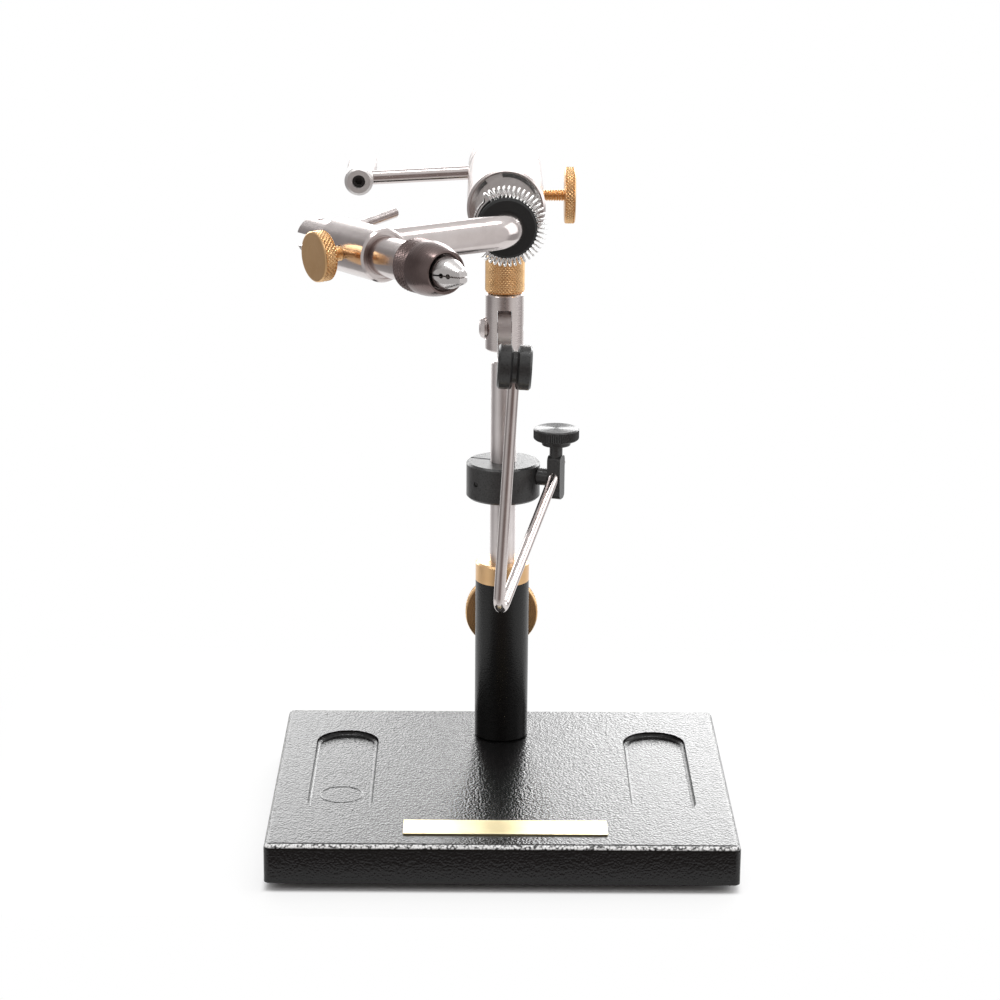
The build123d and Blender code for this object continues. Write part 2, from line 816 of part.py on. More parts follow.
with BuildPart() as crank_collar:
    collar_front = crank_place + crank_collar_length / 2
    turn(
        [
            (shaft_radius, shaft_end),
            (housing_radius - housing_chamfer, shaft_end),
            (housing_radius, shaft_end + housing_chamfer),
            (housing_radius, collar_front - housing_chamfer),
            (housing_radius - housing_chamfer, collar_front),
            (shaft_radius, collar_front),
        ],
        axis_frame,
    )
    rod(crank_frame, crank_rod_radius, housing_radius - crank_rod_depth, housing_radius, Mode.SUBTRACT)
    set_screw_frame = Plane(crank_frame.origin, x_dir=(0, 1, 0), z_dir=crank_frame.y_dir)
    rod(set_screw_frame, crank_set_screw_radius, 0, housing_radius, Mode.SUBTRACT)

with BuildPart() as crank_set_screw:
    rod(set_screw_frame, crank_set_screw_radius, shaft_radius, housing_radius - housing_chamfer)
    hexagon_socket(
        set_screw_frame,
        crank_set_screw_radius * 0.6,
        housing_radius - housing_chamfer - crank_set_screw_radius,
        housing_radius - housing_chamfer,
    )

with BuildPart() as crank_rod:
    rod(crank_frame, crank_rod_radius, housing_radius - crank_rod_depth, crank_length)
    rod(eye_frame, eye_radius, -eye_length, eye_length, Mode.SUBTRACT)

with BuildPart() as crank_eye:
    screw_seat = eye_front - handle_screw_recess - handle_screw_head_height
    turn(
        [
            (handle_screw_radius + running, eye_front - eye_length),
            (eye_radius, eye_front - eye_length),
            (eye_radius, eye_front - eye_chamfer),
            (eye_radius - eye_chamfer, eye_front),
            (handle_screw_head_radius + running, eye_front),
            (handle_screw_head_radius + running, screw_seat),
            (handle_screw_radius + running, screw_seat),
        ],
        eye_frame,
    )

with BuildPart() as crank_handle:
    handle_front = eye_front - eye_length - gap
    handle_rear = handle_front - handle_length
    turn(
        [
            (0, handle_rear),
            (handle_radius - eye_chamfer, handle_rear),
            (handle_radius, handle_rear + eye_chamfer),
            (handle_radius + handle_swell, (handle_front + handle_rear) / 2),
            (handle_radius, handle_front - eye_chamfer),
            (handle_radius - eye_chamfer, handle_front),
            (handle_screw_radius, handle_front),
            (handle_screw_radius, (handle_front + handle_rear) / 2),
            (0, (handle_front + handle_rear) / 2),
        ],
        eye_frame,
    )

with BuildPart() as handle_screw:
    rod(eye_frame, handle_screw_radius, (handle_front + handle_rear) / 2, screw_seat + gap)
    rod(
        eye_frame,
        handle_screw_head_radius,
        screw_seat + gap,
        screw_seat + gap + handle_screw_head_height,
    )
    hexagon_socket(
        eye_frame,
        handle_screw_head_radius * 0.6,
        screw_seat + handle_screw_head_height / 2,
        screw_seat + gap + handle_screw_head_height,
    )

with BuildPart() as jaw_holder:
    tube_fit = tube_radius + running
    turn(
        [
            (tube_fit, holder_rear),
            (holder_radius - holder_chamfer, holder_rear),
            (holder_radius, holder_rear + holder_chamfer),
            (holder_radius, holder_front - holder_chamfer),
            (holder_radius - holder_chamfer / 2, holder_front),
            (holder_recess_radius, holder_front),
            (holder_recess_radius, holder_front - holder_recess),
            (tube_fit, holder_front - holder_recess),
        ],
        jaw_frame,
    )
    rod(jaw_screw_frame, jaw_screw_radius + running, 0, 2 * holder_radius, Mode.SUBTRACT)

with BuildPart() as jaw_clamp_screw:
    thumb_screw(
        jaw_screw_frame,
        jaw_screw_radius,
        tube_radius + gap,
        jaw_screw_head_start,
        jaw_screw_head_length,
        jaw_screw_head_radius,
    )

# Jaw assembly: tube, cam lever on its pin, push rod, two jaws and the nose
with BuildPart() as jaw_tube:
    push_guide = push_rod_radius + running
    turn(
        [
            (push_guide, tube_rear),
            (tube_radius - tube_chamfer, tube_rear),
            (tube_radius, tube_rear + tube_chamfer),
            (tube_radius, tube_front),
            (tube_bore_radius, tube_front),
            (tube_bore_radius, tube_front - tube_bore_depth),
            (push_guide, tube_front - tube_bore_depth),
        ],
        jaw_frame,
    )
    with BuildSketch(jaw_frame.offset(tube_rear)) as slot:
        Rectangle(2 * tube_radius, lever_slot)
    extrude(slot.sketch, amount=lever_slot_length, mode=Mode.SUBTRACT)
    rod(cam_frame, cam_pin_radius, -tube_radius, tube_radius, Mode.SUBTRACT)

with BuildPart() as cam_pin:
    rod(cam_frame, cam_pin_radius, gap - tube_radius, tube_radius - gap)

with BuildPart() as cam_lever:
    lever_way = cam_frame.x_dir * cos(radians(lever_angle)) - jaw_frame.x_dir * sin(radians(lever_angle))
    lobe_way = cam_frame.x_dir * cos(radians(cam_lead)) - jaw_frame.x_dir * sin(radians(cam_lead))
    cam_disc = Plane(cam_frame.origin + lobe_way * cam_throw, cam_frame.x_dir, cam_frame.z_dir)
    rod(cam_disc, cam_radius, -cam_thickness / 2, cam_thickness / 2)
    lever_frame = Plane(cam_frame.origin, x_dir=cam_frame.z_dir, z_dir=lever_way)
    turn(
        [
            (0, 0),
            (lever_radius, 0),
            (lever_radius, lever_length - lever_radius / 2),
            (lever_radius / 2, lever_length),
            (0, lever_length),
        ],
        lever_frame,
    )
    rod(cam_frame, cam_pin_radius + running, -cam_thickness, cam_thickness, Mode.SUBTRACT)

with BuildPart() as push_rod:
    push_rear = cam_place + cam_radius + cam_throw * cos(radians(cam_lead)) + gap
    push_front = tube_front - tube_bore_depth + push_rod_head_length
    rod(jaw_frame, push_rod_radius, push_rear, push_front)
    rod(jaw_frame, push_rod_head_radius, push_front - push_rod_head_length + 4 * gap + running, push_front)

with BuildPart() as jaw_pair:
    turn(
        [
            (0, push_front),
            (jaw_radius, push_front),
            (jaw_radius, tube_front),
            (jaw_neck_radius, jaw_neck),
            (jaw_neck_radius, nose_front),
            (jaw_crown_radius, nose_front + jaw_crown),
            (jaw_tip_radius, jaw_tip - jaw_slit),
            (jaw_tip_radius - jaw_slit, jaw_tip),
            (0, jaw_tip),
        ],
        jaw_frame,
    )
    with BuildSketch(jaw_side) as flats:
        for way in (-1, 1):
            with BuildLine():
                Polyline(
                    (way * jaw_neck_radius, nose_front),
                    (way * jaw_flat_tip, jaw_tip),
                    (way * 2 * jaw_radius, jaw_tip),
                    (way * 2 * jaw_radius, nose_front),
                    close=True,
                )
            make_face()
    extrude(flats.sketch, amount=2 * jaw_radius, both=True, mode=Mode.SUBTRACT)
    with BuildSketch(jaw_frame.offset(push_front)) as slit:
        Rectangle(4 * jaw_radius, jaw_slit)
    extrude(slit.sketch, amount=jaw_tip, mode=Mode.SUBTRACT)
    for place in jaw_pockets:
        pocket_frame = Plane(
            jaw_frame.origin + jaw_frame.z_dir * (jaw_tip - place),
            x_dir=jaw_frame.z_dir,
            z_dir=jaw_frame.x_dir,
        )
        rod(pocket_frame, jaw_pocket_radius, -2 * jaw_radius, 2 * jaw_radius, Mode.SUBTRACT)

jaw_halves = jaw_pair.part.solids().sort_by(Axis(jaw_frame.origin, arm_normal))
with BuildPart() as lower_jaw:
    add(jaw_halves[0])
with BuildPart() as upper_jaw:
    add(jaw_halves[-1])

with BuildPart() as jaw_nose:
    nose_edge = tube_chamfer
    with BuildSketch(jaw_side) as nose_side:
        with BuildLine():
            Polyline(
                (nose_front_radius, nose_front),
                (nose_mouth_radius, nose_front),
                (nose_mouth_radius, tube_front + gap),
                (tube_fit, tube_front + gap),
                (tube_fit, nose_rear),
                (nose_radius - nose_edge, nose_rear),
                (nose_radius, nose_rear + nose_edge),
                (nose_radius, nose_rear + nose_band),
            )
            TangentArc(
                (nose_radius, nose_rear + nose_band),
                (nose_front_radius, nose_front),
                tangent=(0, 1),
            )
        make_face()
    revolve(nose_side.sketch, axis=Axis(jaw_frame.origin, jaw_frame.z_dir))

pieces = {
    "base_plate": base_plate,
    "rubber_feet": rubber_feet,
    "name_plate": name_plate,
    "stem_tube": stem_tube,
    "stem_bolt": stem_bolt,
    "stem_bush": stem_bush,
    "post_clamp_screw": post_clamp_screw,
    "post": post,
    "bobbin_collar": bobbin_collar,
    "collar_screw": collar_screw,
    "rod_clamp": rod_clamp,
    "clamp_screw": clamp_screw,
    "clamp_knob": clamp_knob,
    "bobbin_rod": bobbin_rod,
    "cradle_spool": cradle_spool,
    "yoke": yoke,
    "tilt_screw": tilt_screw,
    "neck_stud": neck_stud,
    "neck_nut": neck_nut,
    "rotary_housing": rotary_housing,
    "front_bush": front_bush,
    "retaining_ring": retaining_ring,
    "rear_bush": rear_bush,
    "drag_pad": drag_pad,
    "drag_screw": drag_screw,
    "bent_shaft": bent_shaft,
    "clip_hub": clip_hub,
    "clip_spring": clip_spring,
    "crank_collar": crank_collar,
    "crank_set_screw": crank_set_screw,
    "crank_rod": crank_rod,
    "crank_eye": crank_eye,
    "crank_handle": crank_handle,
    "handle_screw": handle_screw,
    "jaw_holder": jaw_holder,
    "jaw_clamp_screw": jaw_clamp_screw,
    "jaw_tube": jaw_tube,
    "cam_pin": cam_pin,
    "cam_lever": cam_lever,
    "push_rod": push_rod,
    "lower_jaw": lower_jaw,
    "upper_jaw": upper_jaw,
    "jaw_nose": jaw_nose,
}
os.makedirs("parts", exist_ok=True)
for name, piece in pieces.items():
    piece.part.label = name
    export_step(piece.part, f"parts/{name}.step")
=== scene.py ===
import json
from math import ceil, cos, hypot, pi, radians, sin, sqrt

import bmesh
import bpy
from mathutils import Matrix, Vector


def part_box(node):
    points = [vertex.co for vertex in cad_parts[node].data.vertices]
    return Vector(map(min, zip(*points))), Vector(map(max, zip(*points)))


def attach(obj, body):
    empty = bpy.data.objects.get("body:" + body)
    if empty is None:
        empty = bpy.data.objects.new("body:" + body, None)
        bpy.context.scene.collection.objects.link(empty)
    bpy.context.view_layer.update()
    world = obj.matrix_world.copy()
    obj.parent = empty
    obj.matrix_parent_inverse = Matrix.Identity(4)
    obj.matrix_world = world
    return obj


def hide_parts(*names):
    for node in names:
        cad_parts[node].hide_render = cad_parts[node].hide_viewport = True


# A rotary fly tying vise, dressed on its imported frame. Lengths are in metres.
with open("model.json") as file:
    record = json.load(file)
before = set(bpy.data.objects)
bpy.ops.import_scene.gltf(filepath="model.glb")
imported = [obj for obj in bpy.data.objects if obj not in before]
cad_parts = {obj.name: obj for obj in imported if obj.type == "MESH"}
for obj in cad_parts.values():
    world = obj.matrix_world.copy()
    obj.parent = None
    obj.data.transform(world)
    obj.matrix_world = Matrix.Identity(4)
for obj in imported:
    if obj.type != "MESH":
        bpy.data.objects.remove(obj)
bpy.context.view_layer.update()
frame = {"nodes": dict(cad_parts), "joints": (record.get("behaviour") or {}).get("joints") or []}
nodes = frame["nodes"]
joints = {joint["name"]: joint for joint in frame["joints"]}
mm = 0.001

# The photograph's camera
camera_place = Vector((-8.2, -994.2, 394.7)) * mm
camera_pitch = radians(16.0)
camera_yaw = radians(0.41)
camera_roll = radians(0.5)
camera_lens = 100.06
camera_sensor = 36.0

# Knurls, threads and the fineness of turned pieces
knurl_pitch = 1.35 * mm
knurl_depth = 0.5 * mm
knurl_facets = 8
knurl_crease = 30.0
nose_knurl_pitch = 1.1 * mm
nose_knurl_depth = 0.4 * mm
thread_pitch = 0.9 * mm
thread_depth = 0.4 * mm
turning_step = 0.14 * mm
nose_turning_step = 0.13 * mm
knob_turning_step = 0.5 * mm
weld_reach = 0.0001 * mm

# Thumb screws and neck nut, as in the solids
jaw_shank = 2.5 * mm
jaw_head = 4.6 * mm
drag_shank = 2.15 * mm
drag_head = 3.9 * mm
post_shank = 3.0 * mm
post_head = 5.0 * mm
screw_chamfer = 0.6 * mm
head_back_chamfer = 0.5 * mm
head_round = 0.4 * mm
rim_back_margin = 0.4 * mm
rim_front_margin = 0.5 * mm
thread_margin = 0.2 * mm
nut_bore = 3.05 * mm
nut_chamfer = 0.8 * mm
nut_rim_margin = 0.4 * mm

# Nose of the jaws
nose_band = 8.0 * mm
nose_chamfer = 0.8 * mm
nose_rim_margin = 0.5 * mm
nose_bore = 6.55 * mm
nose_bore_end = 45.3 * mm
nose_front_radius = 6.9 * mm
nose_mouth_radius = 5.75 * mm
nose_lip = 0.45 * mm
nose_lip_depth = 0.3 * mm
nose_taper_steps = 16

# Knob of the bobbin rest
knob_flange_height = 2.0 * mm
knob_flange_radius = 5.3 * mm
knob_bore = 1.6 * mm
knob_roof = 1.9 * mm
knob_chamfer = 0.6 * mm
knob_round = 0.3 * mm
knob_teeth = 60
knob_tooth_depth = 0.35 * mm
knob_tooth_reach = 0.1 * mm
knob_tooth_facets = 6
knob_crease = 50.0

# Painted highlight along the base's rounded rim, and ring marks of the cutter in the floor of its left tray
rim_highlight_width = 3.0 * mm
tray_aside = 57.8 * mm
cutter_ring_y = -58.6 * mm
cutter_ring_radius = 7.6 * mm
cutter_ring_width = 0.5 * mm
cutter_ring_step = 14.6 * mm
cutter_ring_depths = (0.13 * mm, 0.04 * mm)

# Spring of the material clip
spring_radius = 11.4 * mm
spring_coil_radius = 2.1 * mm
spring_wire_radius = 0.34 * mm
spring_turns = 34
spring_turn_steps = 20
spring_start = radians(-130.0)
spring_sweep = radians(255.0)
spring_lead_start = radians(133.0)
spring_lead_end = radians(222.0)
spring_lead_bow = 0.9 * mm
spring_bend_steps = 10
spring_lead_steps = 40


def joint_place(name):
    return Vector(joints[name]["pos_m"])


def joint_axis(name):
    return Vector(joints[name]["axis"]).normalized()


def axis_frame(origin, axis, side=None):
    """Gives the matrix whose z runs along an axis and whose x points to one side of it."""
    up = axis.normalized()
    guide = side if side else (Vector((1, 0, 0)) if abs(up.x) < 0.9 else Vector((0, 1, 0)))
    across = (guide - up * guide.dot(up)).normalized()
    turn = Matrix((across, up.cross(across), up)).transposed().to_4x4()
    return Matrix.Translation(origin) @ turn


def reach(node, place):
    """Measures a CAD node in a frame: its lowest and highest z and its largest radius."""
    inverse = place.inverted()
    points = [inverse @ vertex.co for vertex in nodes[node].data.vertices]
    heights = [point.z for point in points]
    return min(heights), max(heights), max(hypot(point.x, point.y) for point in points)


rotary = axis_frame(joint_place("rotary"), Vector((0, -1, 0)))
jaw = axis_frame(joint_place("jaw_clamp_turn"), joint_axis("jaw_slide"), joint_axis("jaw_clamp_turn"))
jaw_screw = axis_frame(joint_place("jaw_clamp_turn"), joint_axis("jaw_clamp_turn"))
drag = axis_frame(joint_place("drag_turn"), joint_axis("drag_turn"))
post_screw = axis_frame(joint_place("post_clamp_turn"), joint_axis("post_clamp_turn"))
knob = axis_frame(joint_place("knob_turn"), joint_axis("knob_turn"))
upright = Matrix.Identity(4)


# Shader helpers. A tree is a node tree, and a value given to a node is a socket or a plain number or colour.
def material(name):
    made = bpy.data.materials.new(name)
    made.use_nodes = True
    return made, made.node_tree, made.node_tree.nodes["Principled BSDF"]


def feed(tree, socket, value):
    """Links a socket to another one, or sets it to a plain value."""
    if isinstance(value, bpy.types.NodeSocket):
        tree.links.new(value, socket)
    else:
        socket.default_value = value


def grey(value):
    return (value, value, value)


def ramp(tree, source, stops):
    """Maps a value through a colour ramp of (position, colour) stops."""
    made = tree.nodes.new("ShaderNodeValToRGB")
    while len(made.color_ramp.elements) < len(stops):
        made.color_ramp.elements.new(0.5)
    for element, (position, colour) in zip(made.color_ramp.elements, stops):
        element.position = position
        element.color = (*colour, 1)
    tree.links.new(source, made.inputs["Fac"])
    return made.outputs["Color"]


def sums(tree, operation, first, second):
    """Joins two values by an operation."""
    made = tree.nodes.new("ShaderNodeMath")
    made.operation = operation
    feed(tree, made.inputs[0], first)
    feed(tree, made.inputs[1], second)
    return made.outputs["Value"]


def spread(tree, value, low, high):
    """Spreads a range of values from nought to one."""
    made = tree.nodes.new("ShaderNodeMapRange")
    made.inputs["From Min"].default_value = low
    made.inputs["From Max"].default_value = high
    tree.links.new(value, made.inputs["Value"])
    return made.outputs["Result"]


def blend(tree, share, first, second, kind="MIX"):
    """Mixes two colours by a share of the second."""
    made = tree.nodes.new("ShaderNodeMix")
    made.data_type = "RGBA"
    made.blend_type = kind
    for index, value in ((0, share), (6, first), (7, second)):
        feed(tree, made.inputs[index], value)
    return made.outputs[2]


def shader_mix(tree, share, first, second):
    """Mixes two shaders by a share of the second."""
    made = tree.nodes.new("ShaderNodeMixShader")
    for socket, value in zip(made.inputs, (share, first, second)):
        tree.links.new(value, socket)
    return made.outputs["Shader"]


def split(tree, vector):
    """Gives the X, Y and Z outputs of a vector."""
    made = tree.nodes.new("ShaderNodeSeparateXYZ")
    tree.links.new(vector, made.inputs["Vector"])
    return made.outputs


def vector_length(tree, vector):
    made = tree.nodes.new("ShaderNodeVectorMath")
    made.operation = "LENGTH"
    tree.links.new(vector, made.inputs[0])
    return made.outputs["Value"]


def object_coordinates(tree, place=None, stretch=(1, 1, 1)):
    """Gives object coordinates in a frame, stretched along its axes."""
    source = tree.nodes.new("ShaderNodeTexCoord").outputs["Object"]
    if place:
        turned_to = tree.nodes.new("ShaderNodeMapping")
        turned_to.vector_type = "TEXTURE"
        turned_to.inputs["Location"].default_value = place.to_translation()
        turned_to.inputs["Rotation"].default_value = place.to_euler()
        tree.links.new(source, turned_to.inputs["Vector"])
        source = turned_to.outputs["Vector"]
    scaled = tree.nodes.new("ShaderNodeMapping")
    scaled.inputs["Scale"].default_value = stretch
    tree.links.new(source, scaled.inputs["Vector"])
    return scaled.outputs["Vector"]


def ring_coordinates(tree, place, scale):
    """Gives (radius, height) in a frame, scaled, for the rings that a lathe tool leaves."""
    parts = split(tree, object_coordinates(tree, place))
    flat = tree.nodes.new("ShaderNodeCombineXYZ")
    tree.links.new(parts["X"], flat.inputs["X"])
    tree.links.new(parts["Y"], flat.inputs["Y"])
    rings = tree.nodes.new("ShaderNodeCombineXYZ")
    tree.links.new(vector_length(tree, flat.outputs["Vector"]), rings.inputs["X"])
    tree.links.new(parts["Z"], rings.inputs["Y"])
    scaled = tree.nodes.new("ShaderNodeVectorMath")
    scaled.operation = "SCALE"
    scaled.inputs["Scale"].default_value = scale
    tree.links.new(rings.outputs["Vector"], scaled.inputs[0])
    return scaled.outputs["Vector"]


def noise(tree, vector, scale, detail=3.0, roughness=0.5):
    made = tree.nodes.new("ShaderNodeTexNoise")
    made.inputs["Scale"].default_value = scale
    made.inputs["Detail"].default_value = detail
    made.inputs["Roughness"].default_value = roughness
    tree.links.new(vector, made.inputs["Vector"])
    return made.outputs["Fac"]


def bump(tree, height, distance, strength=1.0, normal=None):
    made = tree.nodes.new("ShaderNodeBump")
    made.inputs["Distance"].default_value = distance
    made.inputs["Strength"].default_value = strength
    tree.links.new(height, made.inputs["Height"])
    if normal:
        tree.links.new(normal, made.inputs["Normal"])
    return made.outputs["Normal"]


# Finishes
def beyond_base(tree):
    """Gives how far a point lies outside the outline of the base, or how far inside it, below nought."""
    parts = split(tree, tree.nodes.new("ShaderNodeTexCoord").outputs["Object"])
    low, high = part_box("base_plate")
    beyond = []
    for index, axis in enumerate("XY"):
        moved = sums(tree, "SUBTRACT", parts[axis], (low[index] + high[index]) / 2)
        size = sums(tree, "ABSOLUTE", moved, 0.0)
        beyond.append(sums(tree, "SUBTRACT", size, (high[index] - low[index]) / 2))
    return sums(tree, "MAXIMUM", *beyond)


# Painted highlight: the base colour is made bright along the rounded top rim, strongest at the front, in
# place of the light its rounded edges catch
def painted_rim_highlight(tree):
    """Gives the share of painted highlight on the base's rounded rim between its sides and its top, most of
    it in front.
    """
    parts = split(tree, tree.nodes.new("ShaderNodeNewGeometry").outputs["Normal"])
    stops = [(0.25, grey(0)), (0.5, grey(1)), (0.85, grey(1)), (0.97, grey(0))]
    slope = ramp(tree, parts["Z"], stops)
    rim = sums(tree, "GREATER_THAN", beyond_base(tree), -rim_highlight_width)
    ahead = sums(tree, "MULTIPLY", parts["Y"], -1.0)
    front = ramp(tree, ahead, [(0.1, grey(0.3)), (0.4, grey(1))])
    return sums(tree, "MULTIPLY", sums(tree, "MULTIPLY", slope, rim), front)


def cutter_ring(tree, middle):
    """Gives the faint ring that a cutter leaves in the floor of a tray."""
    distance = vector_length(tree, object_coordinates(tree, Matrix.Translation(middle), (1, 1, 0)))
    away = sums(tree, "ABSOLUTE", sums(tree, "SUBTRACT", distance, cutter_ring_radius), 0.0)
    share = sums(tree, "DIVIDE", away, cutter_ring_width)
    return ramp(tree, share, [(0.0, grey(1)), (1.0, grey(0))])


def hammered_coat(name, cell, depth, smooth, rough, rim_highlight, mark=None):
    """Black hammered powder coat: shallow round dimples on slow waves, with a painted highlight of bright
    specks along its rim.
    """
    made, tree, shader = material(name)
    vector = object_coordinates(tree)
    cells = tree.nodes.new("ShaderNodeTexVoronoi")
    cells.feature = "SMOOTH_F1"
    cells.inputs["Scale"].default_value = 1 / cell
    cells.inputs["Smoothness"].default_value = 0.5
    tree.links.new(vector, cells.inputs["Vector"])
    distance = cells.outputs["Distance"]
    waves = noise(tree, vector, 0.4 / cell, 2.0)
    normal = bump(tree, waves, depth, 0.6, bump(tree, distance, depth))
    for index, ring_depth in enumerate(cutter_ring_depths if mark else ()):
        middle = mark + Vector((0, index * cutter_ring_step, 0))
        normal = bump(tree, cutter_ring(tree, middle), ring_depth, 1.0, normal)
    tree.links.new(normal, shader.inputs["Normal"])
    black = ramp(tree, waves, [(0.3, (0.003, 0.003, 0.0031)), (0.75, (0.006, 0.0057, 0.0057))])
    # Painted highlight: bright specks at the dimples' centres, mixed into the black base colour only along
    # the rounded rim
    specks = ramp(tree, distance, [(0.4, grey(rim_highlight)), (0.75, grey(0.05 * rim_highlight))])
    tree.links.new(blend(tree, painted_rim_highlight(tree), black, specks), shader.inputs["Base Color"])
    shader.inputs["Specular IOR Level"].default_value = 0.38
    gloss = ramp(tree, distance, [(0.1, grey(smooth)), (0.8, grey(rough))])
    tree.links.new(gloss, shader.inputs["Roughness"])
    return made


def lathe_sheen(tree, shader, axis, amount):
    """Draws highlights out across the fine grooves that turning leaves round an axis."""
    grooves = tree.nodes.new("ShaderNodeTangent")
    grooves.direction_type = "RADIAL"
    grooves.axis = axis
    tree.links.new(grooves.outputs["Tangent"], shader.inputs["Tangent"])
    shader.inputs["Anisotropic"].default_value = amount
    shader.inputs["Anisotropic Rotation"].default_value = 0.25


def turned_metal(name, tones, smooth, rough, place=None, ring_scale=2600.0, ring_bump=0.003, sheen=None):
    """Turned metal in two tones, light and dark: fine rings round an axis and a slow change of tone."""
    made, tree, shader = material(name)
    light, dark = tones
    shader.inputs["Metallic"].default_value = 1.0
    rings = noise(tree, ring_coordinates(tree, place, ring_scale), 1.0, 2.0)
    clouds = noise(tree, object_coordinates(tree), 90.0, 4.0, 0.6)
    tree.links.new(ramp(tree, clouds, [(0.3, dark), (0.7, light)]), shader.inputs["Base Color"])
    gloss = ramp(tree, rings, [(0.3, grey(smooth)), (0.7, grey(rough))])
    tree.links.new(gloss, shader.inputs["Roughness"])
    tree.links.new(bump(tree, rings, ring_bump * mm), shader.inputs["Normal"])
    if sheen:
        lathe_sheen(tree, shader, sheen, 0.8)
    return made


def dull_black(name, tone, smooth, rough, grain, grain_depth, sheen=None):
    """Plastic, rubber or anodising with a fine grain."""
    made, tree, shader = material(name)
    specks = noise(tree, object_coordinates(tree), grain, 4.0, 0.65)
    colour = ramp(tree, specks, [(0.35, grey(tone * 0.7)), (0.75, grey(tone * 1.5))])
    tree.links.new(colour, shader.inputs["Base Color"])
    gloss = ramp(tree, specks, [(0.3, grey(smooth)), (0.7, grey(rough))])
    tree.links.new(gloss, shader.inputs["Roughness"])
    tree.links.new(bump(tree, specks, grain_depth * mm), shader.inputs["Normal"])
    if sheen:
        lathe_sheen(tree, shader, sheen, 0.85)
    return made


tray_mark = Vector((-tray_aside, cutter_ring_y, 0.0))
# The last number of each coat sets how bright its painted rim highlight is
coat = hammered_coat("hammered_coat", 0.82 * mm, 0.095 * mm, 0.17, 0.27, 1.0, tray_mark)
stem_coat = hammered_coat("stem_coat", 0.7 * mm, 0.03 * mm, 0.24, 0.32, 0.2)

steel = ((0.7, 0.64, 0.625), (0.61, 0.55, 0.535))
post_tones = ((0.8, 0.75, 0.74), (0.72, 0.67, 0.66))
brushed_tones = ((0.8, 0.78, 0.77), (0.7, 0.68, 0.67))
jaw_tones = ((0.76, 0.73, 0.72), (0.64, 0.61, 0.6))
wire_tones = ((0.86, 0.85, 0.84), (0.76, 0.75, 0.74))
nose_tones = ((0.22, 0.168, 0.16), (0.14, 0.103, 0.098))
screw_tones = (grey(0.1), grey(0.05))
brass = ((0.88, 0.58, 0.31), (0.78, 0.49, 0.24))
plate_tones = ((0.9, 0.8, 0.5), (0.84, 0.72, 0.42))
drawn = 300.0
rolled = 500.0

steel_upright = turned_metal("steel_upright", steel, 0.22, 0.32, upright, ring_bump=0.001, sheen="Z")
post_steel = turned_metal("post_steel", post_tones, 0.34, 0.44, upright, ring_bump=0.001, sheen="Z")
steel_rotary = turned_metal("steel_rotary", steel, 0.2, 0.32, rotary)
steel_jaw = turned_metal("steel_jaw", steel, 0.13, 0.24, jaw)
brushed_steel = turned_metal("brushed_steel", brushed_tones, 0.45, 0.58, rotary)
steel_plain = turned_metal("steel_plain", steel, 0.14, 0.24, None, drawn, 0.004)
jaw_steel = turned_metal("jaw_steel", jaw_tones, 0.22, 0.34, jaw)
wire_steel = turned_metal("wire_steel", wire_tones, 0.08, 0.16, None, drawn, 0.004)
nose_steel = turned_metal("nose_steel", nose_tones, 0.17, 0.3, jaw)
screw_steel = turned_metal("screw_steel", screw_tones, 0.3, 0.45, None, drawn)
brass_upright = turned_metal("brass_upright", brass, 0.27, 0.38, upright, ring_bump=0.004)
brass_jaw = turned_metal("brass_jaw", brass, 0.27, 0.38, jaw_screw, ring_bump=0.004)
brass_drag = turned_metal("brass_drag", brass, 0.27, 0.38, drag, ring_bump=0.004)
brass_post = turned_metal("brass_post", brass, 0.24, 0.36, post_screw, ring_bump=0.004)
plate_brass = turned_metal("plate_brass", plate_tones, 0.34, 0.44, None, rolled, 0.004)
rubber = dull_black("rubber", 0.013, 0.62, 0.85, 2600.0, 0.06)
anodised = dull_black("anodised", 0.045, 0.26, 0.38, 1800.0, 0.006)
black_plastic = dull_black("black_plastic", 0.036, 0.26, 0.4, 1500.0, 0.002)
knob_plastic = dull_black("knob_plastic", 0.042, 0.36, 0.46, 1500.0, 0.002, "Z")
pad_plastic = dull_black("pad_plastic", 0.5, 0.4, 0.5, 900.0, 0.02)

finishes = {
    coat: ["base_plate"],
    stem_coat: ["stem_tube"],
    rubber: ["rubber_feet", "clip_hub"],
    plate_brass: ["name_plate"],
    brass_upright: ["stem_bush", "neck_nut"],
    brass_post: ["post_clamp_screw"],
    brass_drag: ["drag_screw"],
    brass_jaw: ["jaw_clamp_screw", "rear_bush"],
    screw_steel: ["stem_bolt", "handle_screw", "crank_set_screw", "collar_screw"],
    anodised: ["bobbin_collar", "rod_clamp"],
    black_plastic: ["cradle_spool"],
    knob_plastic: ["clamp_knob"],
    pad_plastic: ["drag_pad"],
    post_steel: ["post"],
    steel_upright: ["yoke", "tilt_screw", "neck_stud", "clamp_screw"],
    steel_rotary: ["rotary_housing", "crank_collar", "crank_handle"],
    brushed_steel: ["crank_eye", "front_bush"],
    steel_plain: ["bobbin_rod", "bent_shaft", "crank_rod", "cam_lever", "cam_pin"],
    steel_jaw: ["jaw_holder", "jaw_tube", "push_rod"],
    jaw_steel: ["upper_jaw", "lower_jaw"],
    wire_steel: ["clip_spring", "retaining_ring"],
    nose_steel: ["jaw_nose"],
}
for finish, members in finishes.items():
    for member in members:
        nodes[member].data.materials.clear()
        nodes[member].data.materials.append(finish)


